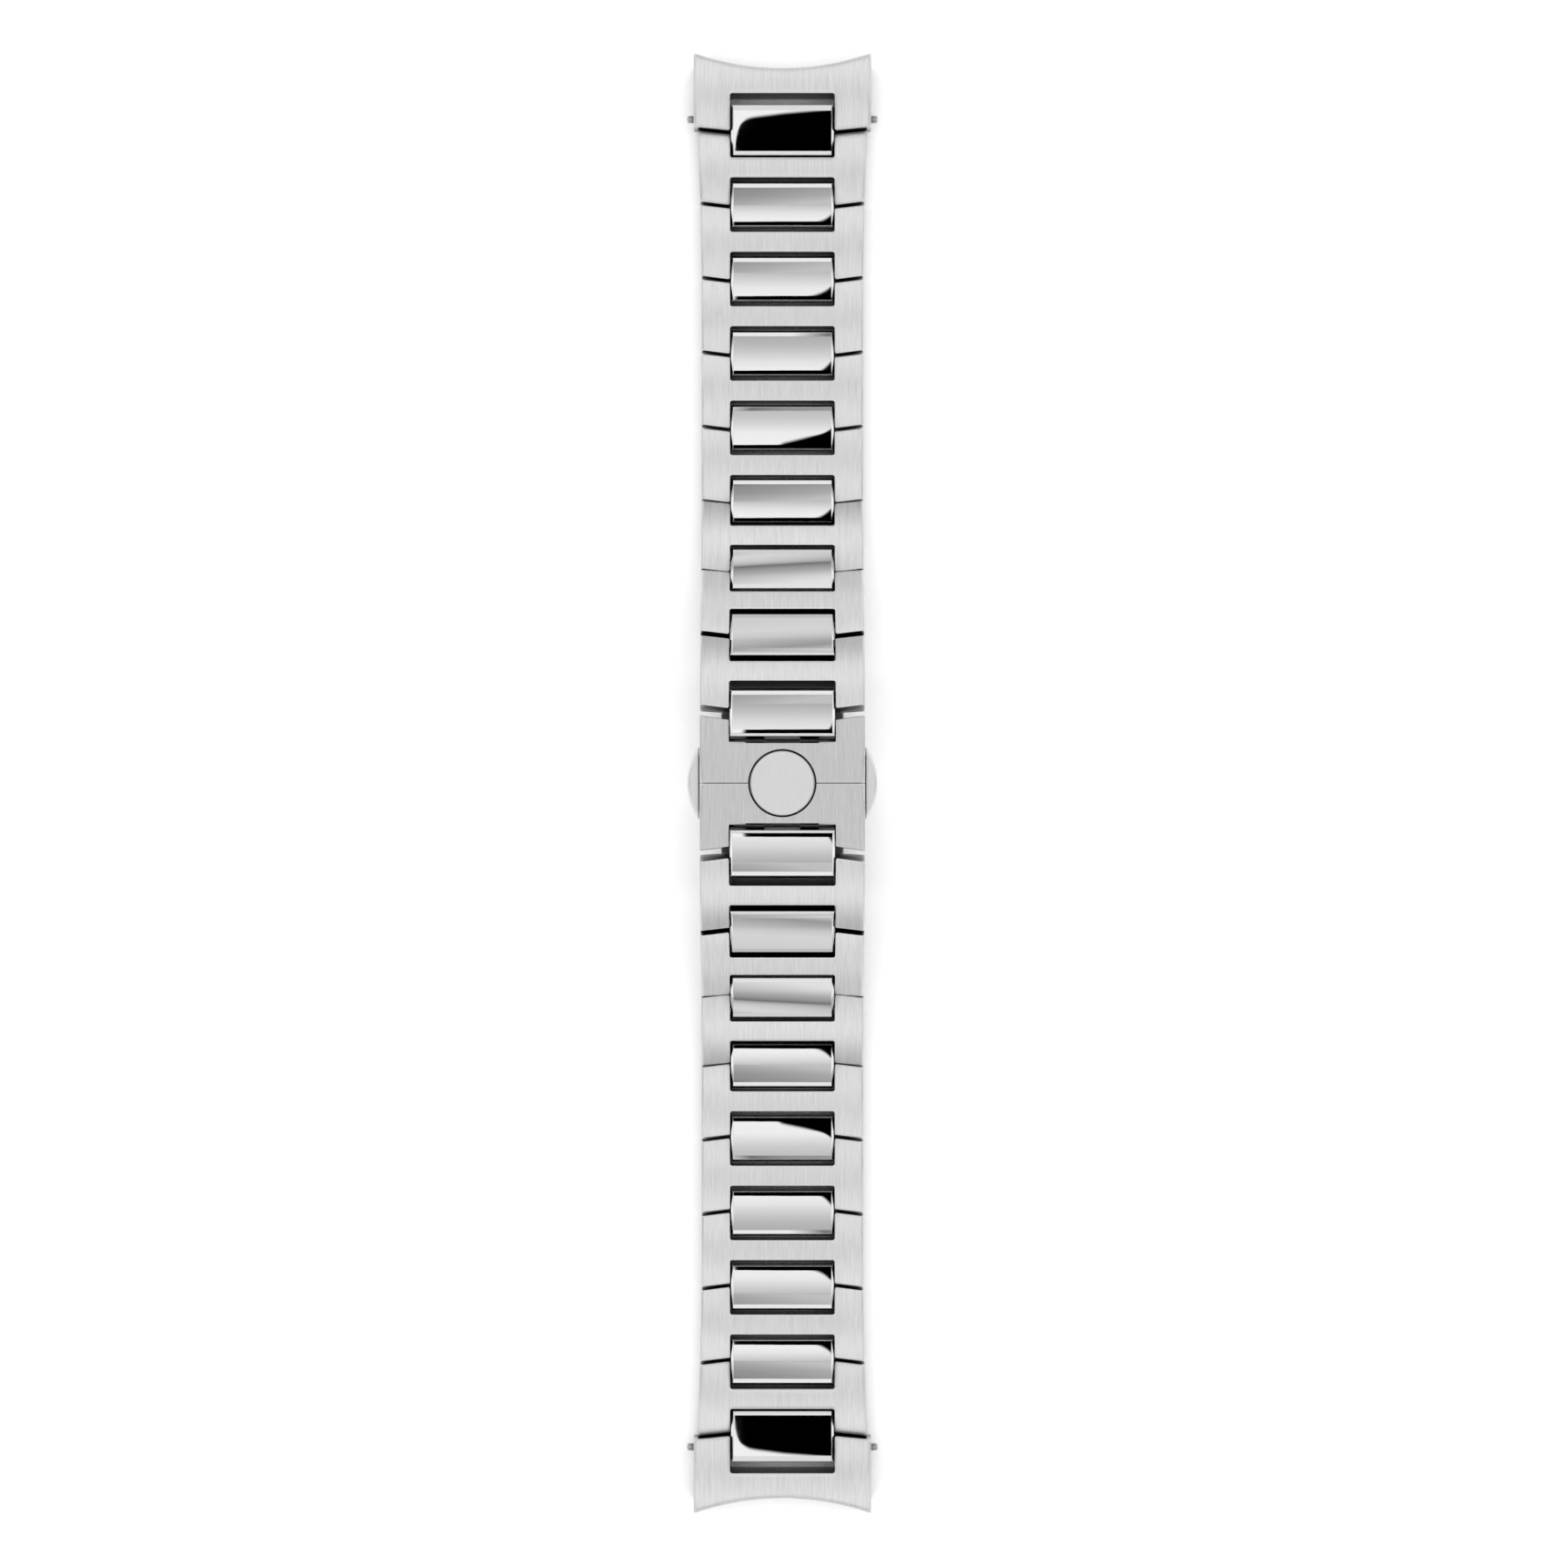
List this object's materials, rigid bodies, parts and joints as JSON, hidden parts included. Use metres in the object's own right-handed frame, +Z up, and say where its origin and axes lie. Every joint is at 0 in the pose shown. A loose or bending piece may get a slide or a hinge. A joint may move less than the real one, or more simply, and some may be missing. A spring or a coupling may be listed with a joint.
{
  "type": "h-link watch bracelet",
  "caption": "Stainless-steel H-link watch bracelet with polished centre links, curved end links on spring bars and a two-button butterfly clasp, laid flat with its clasp closed.",
  "frame": {"origin": "on the table, under the middle of the closed clasp", "axes": "+X across the bracelet, to the right in the picture. +Y along the bracelet to its 12 o'clock end, the top of the picture. +Z up from the table."},
  "size_m": [0.0236, 0.1802, 0.0124],
  "materials": {
    "brushed_steel": "lengthwise brushed 316L stainless steel with thin polished chamfers",
    "polished_steel": "mirror-polished 316L stainless steel",
    "clasp_steel": "satin stainless steel of the clasp's inner blades",
    "pin_steel": "ground stainless steel rod"
  },
  "bodies": {
    "clasp_base": {"base_blade": "clasp_steel", "clasp_hinge_pins": "pin_steel", "latch_block": "clasp_steel", "medallion": "polished_steel", "push_button_springs": "clasp_steel"},
    "push_button_left": {"push_button_left": "polished_steel"},
    "push_button_right": {"push_button_right": "polished_steel"},
    "fold_arm_12": {"fold_arm_12": "clasp_steel", "clasp_cover_12": "brushed_steel"},
    "center_link_09": {"center_link_09": "polished_steel"},
    "h_link_08": {"h_link_08": "brushed_steel"},
    "center_link_08": {"center_link_08": "polished_steel"},
    "h_link_07": {"h_link_07": "brushed_steel"},
    "center_link_07": {"center_link_07": "polished_steel"},
    "h_link_06": {"h_link_06": "brushed_steel"},
    "center_link_06": {"center_link_06": "polished_steel"},
    "h_link_05": {"h_link_05": "brushed_steel"},
    "center_link_05": {"center_link_05": "polished_steel"},
    "h_link_04": {"h_link_04": "brushed_steel"},
    "center_link_04": {"center_link_04": "polished_steel"},
    "h_link_03": {"h_link_03": "brushed_steel"},
    "center_link_03": {"center_link_03": "polished_steel"},
    "h_link_02": {"h_link_02": "brushed_steel"},
    "center_link_02": {"center_link_02": "polished_steel"},
    "h_link_01": {"h_link_01": "brushed_steel"},
    "center_link_01": {"center_link_01": "polished_steel"},
    "end_12": {"end_link_12": "brushed_steel", "spring_bar_12": "pin_steel", "spring_bar_spring_12": "pin_steel"},
    "spring_bar_tip_12_left": {"spring_bar_tip_12_left": "pin_steel"},
    "spring_bar_tip_12_right": {"spring_bar_tip_12_right": "pin_steel"},
    "fold_arm_6": {"fold_arm_6": "clasp_steel", "clasp_cover_6": "brushed_steel"},
    "center_link_10": {"center_link_10": "polished_steel"},
    "h_link_09": {"h_link_09": "brushed_steel"},
    "center_link_11": {"center_link_11": "polished_steel"},
    "h_link_10": {"h_link_10": "brushed_steel"},
    "center_link_12": {"center_link_12": "polished_steel"},
    "h_link_11": {"h_link_11": "brushed_steel"},
    "center_link_13": {"center_link_13": "polished_steel"},
    "h_link_12": {"h_link_12": "brushed_steel"},
    "center_link_14": {"center_link_14": "polished_steel"},
    "h_link_13": {"h_link_13": "brushed_steel"},
    "center_link_15": {"center_link_15": "polished_steel"},
    "h_link_14": {"h_link_14": "brushed_steel"},
    "center_link_16": {"center_link_16": "polished_steel"},
    "h_link_15": {"h_link_15": "brushed_steel"},
    "center_link_17": {"center_link_17": "polished_steel"},
    "h_link_16": {"h_link_16": "brushed_steel"},
    "center_link_18": {"center_link_18": "polished_steel"},
    "end_6": {"end_link_6": "brushed_steel", "spring_bar_6": "pin_steel", "spring_bar_spring_6": "pin_steel"},
    "spring_bar_tip_6_left": {"spring_bar_tip_6_left": "pin_steel"},
    "spring_bar_tip_6_right": {"spring_bar_tip_6_right": "pin_steel"}
  },
  "joints": [
    {"name": "push_left", "type": "slide", "parent": "clasp_base", "child": "push_button_left", "axis": [1, 0, 0], "range_m": [0, 0.00065], "stiffness_N_per_m": 900, "springref_m": -0.0004},
    {"name": "push_right", "type": "slide", "parent": "clasp_base", "child": "push_button_right", "axis": [-1, 0, 0], "range_m": [0, 0.00065], "stiffness_N_per_m": 900, "springref_m": -0.0004},
    {"name": "arm_12_fold", "type": "hinge", "parent": "clasp_base", "child": "fold_arm_12", "pos_m": [0, 0.0184, 0.00115], "axis": [-1, 0, 0], "range_deg": [0, 150]},
    {"name": "pivot_12_01", "type": "hinge", "parent": "fold_arm_12", "child": "center_link_09", "pos_m": [0, 0.0065, 0.01034], "axis": [1, 0, 0], "range_deg": [-4.18, 14.92]},
    {"name": "pivot_12_02", "type": "hinge", "parent": "center_link_09", "child": "h_link_08", "pos_m": [0, 0.01027, 0.00989], "axis": [1, 0, 0], "range_deg": [-2.2, 15.9]},
    {"name": "pivot_12_03", "type": "hinge", "parent": "h_link_08", "child": "center_link_08", "pos_m": [0, 0.01608, 0.00837], "axis": [1, 0, 0], "range_deg": [-1.31, 19.79]},
    {"name": "pivot_12_04", "type": "hinge", "parent": "center_link_08", "child": "h_link_07", "pos_m": [0, 0.01895, 0.00695], "axis": [1, 0, 0], "range_deg": [-5.64, 9.46]},
    {"name": "pivot_12_05", "type": "hinge", "parent": "h_link_07", "child": "center_link_07", "pos_m": [0, 0.02426, 0.00417], "axis": [1, 0, 0], "range_deg": [-17.6, 0.5]},
    {"name": "pivot_12_06", "type": "hinge", "parent": "center_link_07", "child": "h_link_06", "pos_m": [0, 0.02727, 0.00307], "axis": [1, 0, 0], "range_deg": [-17.6, 0.5]},
    {"name": "pivot_12_07", "type": "hinge", "parent": "h_link_06", "child": "center_link_06", "pos_m": [0, 0.03312, 0.00177], "axis": [1, 0, 0], "range_deg": [-17.6, 0.5]},
    {"name": "pivot_12_08", "type": "hinge", "parent": "center_link_06", "child": "h_link_05", "pos_m": [0, 0.03631, 0.0015], "axis": [1, 0, 0], "range_deg": [-14.87, 3.23]},
    {"name": "pivot_12_09", "type": "hinge", "parent": "h_link_05", "child": "center_link_05", "pos_m": [0, 0.04231, 0.0015], "axis": [1, 0, 0], "range_deg": [-10, 8.1]},
    {"name": "pivot_12_10", "type": "hinge", "parent": "center_link_05", "child": "h_link_04", "pos_m": [0, 0.04551, 0.0015], "axis": [1, 0, 0], "range_deg": [-10, 8.1]},
    {"name": "pivot_12_11", "type": "hinge", "parent": "h_link_04", "child": "center_link_04", "pos_m": [0, 0.05151, 0.0015], "axis": [1, 0, 0], "range_deg": [-10, 8.1]},
    {"name": "pivot_12_12", "type": "hinge", "parent": "center_link_04", "child": "h_link_03", "pos_m": [0, 0.05471, 0.0015], "axis": [1, 0, 0], "range_deg": [-10, 8.1]},
    {"name": "pivot_12_13", "type": "hinge", "parent": "h_link_03", "child": "center_link_03", "pos_m": [0, 0.06071, 0.0015], "axis": [1, 0, 0], "range_deg": [-10, 8.1]},
    {"name": "pivot_12_14", "type": "hinge", "parent": "center_link_03", "child": "h_link_02", "pos_m": [0, 0.06391, 0.0015], "axis": [1, 0, 0], "range_deg": [-10, 8.1]},
    {"name": "pivot_12_15", "type": "hinge", "parent": "h_link_02", "child": "center_link_02", "pos_m": [0, 0.06991, 0.0015], "axis": [1, 0, 0], "range_deg": [-10, 8.1]},
    {"name": "pivot_12_16", "type": "hinge", "parent": "center_link_02", "child": "h_link_01", "pos_m": [0, 0.07311, 0.0015], "axis": [1, 0, 0], "range_deg": [-10, 8.1]},
    {"name": "pivot_12_17", "type": "hinge", "parent": "h_link_01", "child": "center_link_01", "pos_m": [0, 0.07911, 0.0015], "axis": [1, 0, 0], "range_deg": [-17.31, 0.99]},
    {"name": "pivot_12_18", "type": "hinge", "parent": "center_link_01", "child": "end_12", "pos_m": [0, 0.08226, 0.0021], "axis": [1, 0, 0], "range_deg": [-0.19, 15.81]},
    {"name": "tip_12_left", "type": "slide", "parent": "end_12", "child": "spring_bar_tip_12_left", "axis": [1, 0, 0], "range_m": [0, 0.0008], "stiffness_N_per_m": 400, "springref_m": -0.0008},
    {"name": "tip_12_right", "type": "slide", "parent": "end_12", "child": "spring_bar_tip_12_right", "axis": [-1, 0, 0], "range_m": [0, 0.0008], "stiffness_N_per_m": 400, "springref_m": -0.0008},
    {"name": "arm_6_fold", "type": "hinge", "parent": "clasp_base", "child": "fold_arm_6", "pos_m": [0, -0.0184, 0.00115], "axis": [-1, 0, 0], "range_deg": [-150, 0]},
    {"name": "pivot_6_01", "type": "hinge", "parent": "fold_arm_6", "child": "center_link_10", "pos_m": [0, -0.0065, 0.01034], "axis": [1, 0, 0], "range_deg": [-14.92, 4.18]},
    {"name": "pivot_6_02", "type": "hinge", "parent": "center_link_10", "child": "h_link_09", "pos_m": [0, -0.01027, 0.00989], "axis": [1, 0, 0], "range_deg": [-15.9, 2.2]},
    {"name": "pivot_6_03", "type": "hinge", "parent": "h_link_09", "child": "center_link_11", "pos_m": [0, -0.01608, 0.00837], "axis": [1, 0, 0], "range_deg": [-19.79, 1.31]},
    {"name": "pivot_6_04", "type": "hinge", "parent": "center_link_11", "child": "h_link_10", "pos_m": [0, -0.01895, 0.00695], "axis": [1, 0, 0], "range_deg": [-9.46, 5.64]},
    {"name": "pivot_6_05", "type": "hinge", "parent": "h_link_10", "child": "center_link_12", "pos_m": [0, -0.02426, 0.00417], "axis": [1, 0, 0], "range_deg": [-0.5, 17.6]},
    {"name": "pivot_6_06", "type": "hinge", "parent": "center_link_12", "child": "h_link_11", "pos_m": [0, -0.02727, 0.00307], "axis": [1, 0, 0], "range_deg": [-0.5, 17.6]},
    {"name": "pivot_6_07", "type": "hinge", "parent": "h_link_11", "child": "center_link_13", "pos_m": [0, -0.03312, 0.00177], "axis": [1, 0, 0], "range_deg": [-0.5, 17.6]},
    {"name": "pivot_6_08", "type": "hinge", "parent": "center_link_13", "child": "h_link_12", "pos_m": [0, -0.03631, 0.0015], "axis": [1, 0, 0], "range_deg": [-3.23, 14.87]},
    {"name": "pivot_6_09", "type": "hinge", "parent": "h_link_12", "child": "center_link_14", "pos_m": [0, -0.04231, 0.0015], "axis": [1, 0, 0], "range_deg": [-8.1, 10]},
    {"name": "pivot_6_10", "type": "hinge", "parent": "center_link_14", "child": "h_link_13", "pos_m": [0, -0.04551, 0.0015], "axis": [1, 0, 0], "range_deg": [-8.1, 10]},
    {"name": "pivot_6_11", "type": "hinge", "parent": "h_link_13", "child": "center_link_15", "pos_m": [0, -0.05151, 0.0015], "axis": [1, 0, 0], "range_deg": [-8.1, 10]},
    {"name": "pivot_6_12", "type": "hinge", "parent": "center_link_15", "child": "h_link_14", "pos_m": [0, -0.05471, 0.0015], "axis": [1, 0, 0], "range_deg": [-8.1, 10]},
    {"name": "pivot_6_13", "type": "hinge", "parent": "h_link_14", "child": "center_link_16", "pos_m": [0, -0.06071, 0.0015], "axis": [1, 0, 0], "range_deg": [-8.1, 10]},
    {"name": "pivot_6_14", "type": "hinge", "parent": "center_link_16", "child": "h_link_15", "pos_m": [0, -0.06391, 0.0015], "axis": [1, 0, 0], "range_deg": [-8.1, 10]},
    {"name": "pivot_6_15", "type": "hinge", "parent": "h_link_15", "child": "center_link_17", "pos_m": [0, -0.06991, 0.0015], "axis": [1, 0, 0], "range_deg": [-8.1, 10]},
    {"name": "pivot_6_16", "type": "hinge", "parent": "center_link_17", "child": "h_link_16", "pos_m": [0, -0.07311, 0.0015], "axis": [1, 0, 0], "range_deg": [-8.1, 10]},
    {"name": "pivot_6_17", "type": "hinge", "parent": "h_link_16", "child": "center_link_18", "pos_m": [0, -0.07911, 0.0015], "axis": [1, 0, 0], "range_deg": [-0.99, 17.31]},
    {"name": "pivot_6_18", "type": "hinge", "parent": "center_link_18", "child": "end_6", "pos_m": [0, -0.08226, 0.0021], "axis": [1, 0, 0], "range_deg": [-15.81, 0.19]},
    {"name": "tip_6_left", "type": "slide", "parent": "end_6", "child": "spring_bar_tip_6_left", "axis": [1, 0, 0], "range_m": [0, 0.0008], "stiffness_N_per_m": 400, "springref_m": -0.0008},
    {"name": "tip_6_right", "type": "slide", "parent": "end_6", "child": "spring_bar_tip_6_right", "axis": [-1, 0, 0], "range_m": [0, 0.0008], "stiffness_N_per_m": 400, "springref_m": -0.0008}
  ]
}
